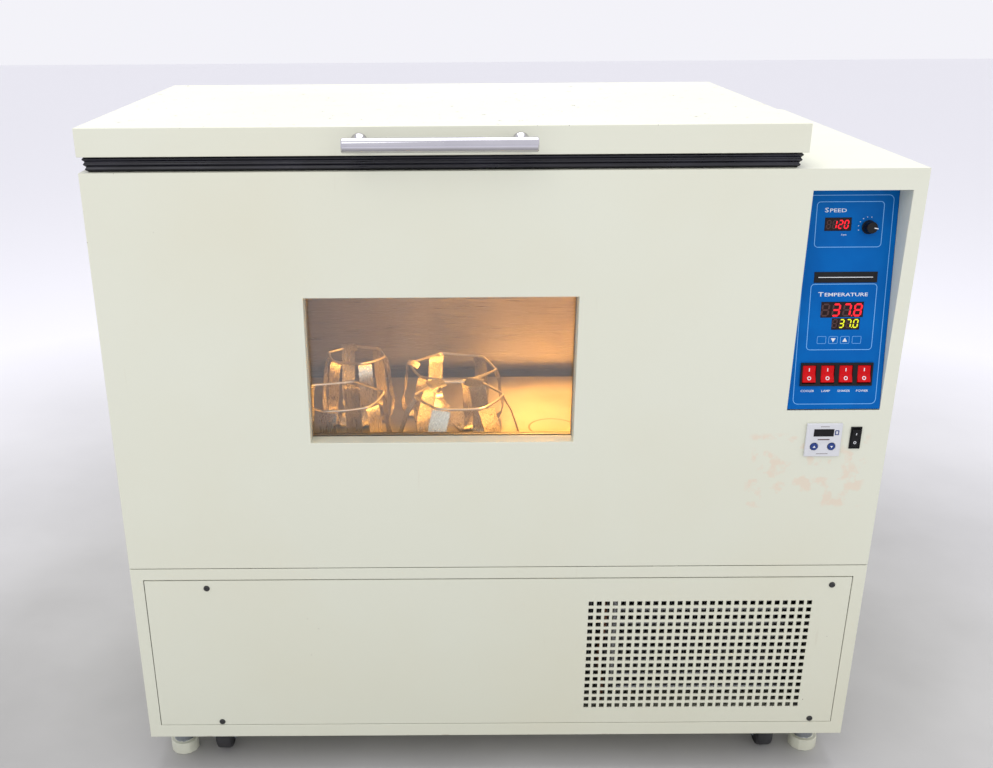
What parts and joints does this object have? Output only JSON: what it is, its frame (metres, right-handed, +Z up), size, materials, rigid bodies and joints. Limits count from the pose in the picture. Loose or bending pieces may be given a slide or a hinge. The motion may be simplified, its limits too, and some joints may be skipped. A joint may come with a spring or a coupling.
{
  "type": "incubated orbital shaker",
  "caption": "Floor-standing incubated shaker: painted cabinet with a hinged top lid, a window, a tilted control panel and an orbiting platform with flask clamps.",
  "frame": {"origin": "bottom centre of the bounding box, on the floor", "axes": "+X to the right seen from the front, +Y from the front towards the back, +Z up"},
  "size_m": [1.067, 0.711, 0.9748],
  "materials": {
    "cream_paint": "satin ivory enamel",
    "stainless_sheet": "brushed",
    "machined_steel": "machined",
    "zinc_steel": "zinc plated, dull",
    "wheel_rubber": "matte",
    "chrome_bar": "polished",
    "seal_rubber": "satin",
    "blue_overlay": "printed overlay",
    "display_lens": "dark tinted lens",
    "black_plastic": "satin",
    "red_lens": "lit red lens",
    "timer_plastic": "light grey",
    "timer_key_plastic": "navy",
    "cast_metal": "painted casting",
    "bare_aluminium": "mill finish",
    "clear_glass": "clear",
    "lamp_glass": "warm lit"
  },
  "bodies": {
    "root": {"cabinet_shell": "cream_paint", "base_frame": "cream_paint", "access_panel": "cream_paint", "chamber_liner": "stainless_sheet", "rear_baffle": "stainless_sheet", "window_unit": "clear_glass", "lid_hinge_base": "stainless_sheet", "lid_hinge_pin": "machined_steel", "control_panel": "blue_overlay", "speed_display": "display_lens", "temperature_controller": "display_lens", "switch_bezel": "black_plastic", "timer_module": "timer_plastic", "drive_deck": "machined_steel", "motor": "cast_metal", "drive_belt": "seal_rubber", "condenser": "bare_aluminium", "condenser_fan_motor": "cast_metal", "compressor": "cast_metal", "chamber_lamp": "lamp_glass", "power_inlet": "black_plastic"},
    "lid": {"lid_shell": "cream_paint", "lid_liner": "stainless_sheet", "lid_gasket": "seal_rubber", "lid_handle": "chrome_bar", "lid_hinge_leaf": "stainless_sheet"},
    "crank": {"main_crank": "machined_steel", "drive_pulley": "bare_aluminium", "counterweight": "cast_metal"},
    "platform_body": {"platform_carrier": "machined_steel", "platform": "stainless_sheet", "flask_clamp_centre_front": "stainless_sheet", "flask_clamp_centre_back": "stainless_sheet", "flask_clamp_left_front": "stainless_sheet", "flask_clamp_left_back": "stainless_sheet"},
    "idler_left": {"idler_crank_left": "machined_steel"},
    "idler_right": {"idler_crank_right": "machined_steel"},
    "motor_pulley_body": {"motor_pulley": "bare_aluminium"},
    "condenser_fan_body": {"condenser_fan": "bare_aluminium"},
    "circulation_fan_body": {"circulation_fan": "bare_aluminium"},
    "knob": {"speed_knob": "black_plastic"},
    "cooler_switch": {"rocker_cooler": "red_lens"},
    "lamp_switch": {"rocker_lamp": "red_lens"},
    "shaker_switch": {"rocker_shaker": "red_lens"},
    "power_switch": {"rocker_power": "red_lens"},
    "aux_switch": {"aux_rocker": "black_plastic"},
    "timer_up": {"timer_key_up": "timer_key_plastic"},
    "timer_down": {"timer_key_down": "timer_key_plastic"},
    "foot_front_left_body": {"foot_front_left": "zinc_steel"},
    "swivel_front_left": {"caster_fork_front_left": "zinc_steel"},
    "wheel_front_left": {"caster_wheel_front_left": "wheel_rubber"},
    "foot_front_right_body": {"foot_front_right": "zinc_steel"},
    "swivel_front_right": {"caster_fork_front_right": "zinc_steel"},
    "wheel_front_right": {"caster_wheel_front_right": "wheel_rubber"},
    "foot_rear_left_body": {"foot_rear_left": "zinc_steel"},
    "swivel_rear_left": {"caster_fork_rear_left": "zinc_steel"},
    "wheel_rear_left": {"caster_wheel_rear_left": "wheel_rubber"},
    "foot_rear_right_body": {"foot_rear_right": "zinc_steel"},
    "swivel_rear_right": {"caster_fork_rear_right": "zinc_steel"},
    "wheel_rear_right": {"caster_wheel_rear_right": "wheel_rubber"}
  },
  "joints": [
    {"name": "lid_hinge", "type": "hinge", "parent": "root", "child": "lid", "pos_m": [-0.0774, 0.2755, 0.932], "axis": [-1, 0, 0], "range_deg": [0, 80]},
    {"name": "crank_spin", "type": "hinge", "parent": "root", "child": "crank", "pos_m": [-0.0775, 0.0835, 0.35], "axis": [0, 0, 1], "continuous": true},
    {"name": "platform_orbit", "type": "hinge", "parent": "crank", "child": "platform_body", "pos_m": [-0.0648, 0.0835, 0.43], "axis": [0, 0, 1], "continuous": true},
    {"name": "idler_left_spin", "type": "hinge", "parent": "root", "child": "idler_left", "pos_m": [-0.3175, -0.0965, 0.37], "axis": [0, 0, 1], "continuous": true},
    {"name": "idler_right_spin", "type": "hinge", "parent": "root", "child": "idler_right", "pos_m": [0.1625, -0.0965, 0.37], "axis": [0, 0, 1], "continuous": true},
    {"name": "motor_spin", "type": "hinge", "parent": "root", "child": "motor_pulley_body", "pos_m": [-0.37, 0.0835, 0.27], "axis": [0, 0, 1], "continuous": true},
    {"name": "condenser_fan_spin", "type": "hinge", "parent": "root", "child": "condenser_fan_body", "pos_m": [0.297, -0.2045, 0.206], "axis": [0, 1, 0], "continuous": true},
    {"name": "circulation_fan_spin", "type": "hinge", "parent": "root", "child": "circulation_fan_body", "pos_m": [0.313, 0.1135, 0.78], "axis": [1, 0, 0], "continuous": true},
    {"name": "speed_knob_turn", "type": "hinge", "parent": "root", "child": "knob", "pos_m": [0.4784, -0.2813, 0.83886], "axis": [0, 0.9896, -0.1437], "range_deg": [-70, 210]},
    {"name": "cooler_rocker", "type": "hinge", "parent": "root", "child": "cooler_switch", "pos_m": [0.4153, -0.30732, 0.64579], "axis": [1, 0, 0], "range_deg": [0, 18]},
    {"name": "lamp_rocker", "type": "hinge", "parent": "root", "child": "lamp_switch", "pos_m": [0.44, -0.30732, 0.64579], "axis": [1, 0, 0], "range_deg": [0, 18]},
    {"name": "shaker_rocker", "type": "hinge", "parent": "root", "child": "shaker_switch", "pos_m": [0.4646, -0.30732, 0.64579], "axis": [1, 0, 0], "range_deg": [0, 18]},
    {"name": "power_rocker", "type": "hinge", "parent": "root", "child": "power_switch", "pos_m": [0.4893, -0.30732, 0.64579], "axis": [1, 0, 0], "range_deg": [0, 18]},
    {"name": "aux_rocker_tip", "type": "hinge", "parent": "root", "child": "aux_switch", "pos_m": [0.4879, -0.3145, 0.5564], "axis": [1, 0, 0], "range_deg": [-14, 0]},
    {"name": "timer_key_up_press", "type": "slide", "parent": "root", "child": "timer_up", "axis": [0, 1, 0], "range_m": [0, 0.001], "stiffness_N_per_m": 400},
    {"name": "timer_key_down_press", "type": "slide", "parent": "root", "child": "timer_down", "axis": [0, 1, 0], "range_m": [0, 0.001], "stiffness_N_per_m": 400},
    {"name": "foot_front_left_turn", "type": "hinge", "parent": "root", "child": "foot_front_left_body", "pos_m": [-0.497, -0.2585, 0.04], "axis": [0, 0, 1], "continuous": true},
    {"name": "caster_front_left_swivel", "type": "hinge", "parent": "root", "child": "swivel_front_left", "pos_m": [-0.43, -0.2425, 0.05], "axis": [0, 0, 1], "continuous": true},
    {"name": "caster_front_left_roll", "type": "hinge", "parent": "swivel_front_left", "child": "wheel_front_left", "pos_m": [-0.43, -0.2585, 0.028], "axis": [1, 0, 0], "continuous": true},
    {"name": "foot_front_right_turn", "type": "hinge", "parent": "root", "child": "foot_front_right_body", "pos_m": [0.497, -0.2585, 0.04], "axis": [0, 0, 1], "continuous": true},
    {"name": "caster_front_right_swivel", "type": "hinge", "parent": "root", "child": "swivel_front_right", "pos_m": [0.43, -0.2425, 0.05], "axis": [0, 0, 1], "continuous": true},
    {"name": "caster_front_right_roll", "type": "hinge", "parent": "swivel_front_right", "child": "wheel_front_right", "pos_m": [0.43, -0.2585, 0.028], "axis": [1, 0, 0], "continuous": true},
    {"name": "foot_rear_left_turn", "type": "hinge", "parent": "root", "child": "foot_rear_left_body", "pos_m": [-0.497, 0.2855, 0.04], "axis": [0, 0, 1], "continuous": true},
    {"name": "caster_rear_left_swivel", "type": "hinge", "parent": "root", "child": "swivel_rear_left", "pos_m": [-0.43, 0.3015, 0.05], "axis": [0, 0, 1], "continuous": true},
    {"name": "caster_rear_left_roll", "type": "hinge", "parent": "swivel_rear_left", "child": "wheel_rear_left", "pos_m": [-0.43, 0.2855, 0.028], "axis": [1, 0, 0], "continuous": true},
    {"name": "foot_rear_right_turn", "type": "hinge", "parent": "root", "child": "foot_rear_right_body", "pos_m": [0.497, 0.2855, 0.04], "axis": [0, 0, 1], "continuous": true},
    {"name": "caster_rear_right_swivel", "type": "hinge", "parent": "root", "child": "swivel_rear_right", "pos_m": [0.43, 0.3015, 0.05], "axis": [0, 0, 1], "continuous": true},
    {"name": "caster_rear_right_roll", "type": "hinge", "parent": "swivel_rear_right", "child": "wheel_rear_right", "pos_m": [0.43, 0.2855, 0.028], "axis": [1, 0, 0], "continuous": true}
  ],
  "couplings": [
    {"joint": "platform_orbit", "follows": "crank_spin", "ratio": -1},
    {"joint": "idler_left_spin", "follows": "crank_spin", "ratio": 1},
    {"joint": "idler_right_spin", "follows": "crank_spin", "ratio": 1},
    {"joint": "motor_spin", "follows": "crank_spin", "ratio": 4}
  ]
}
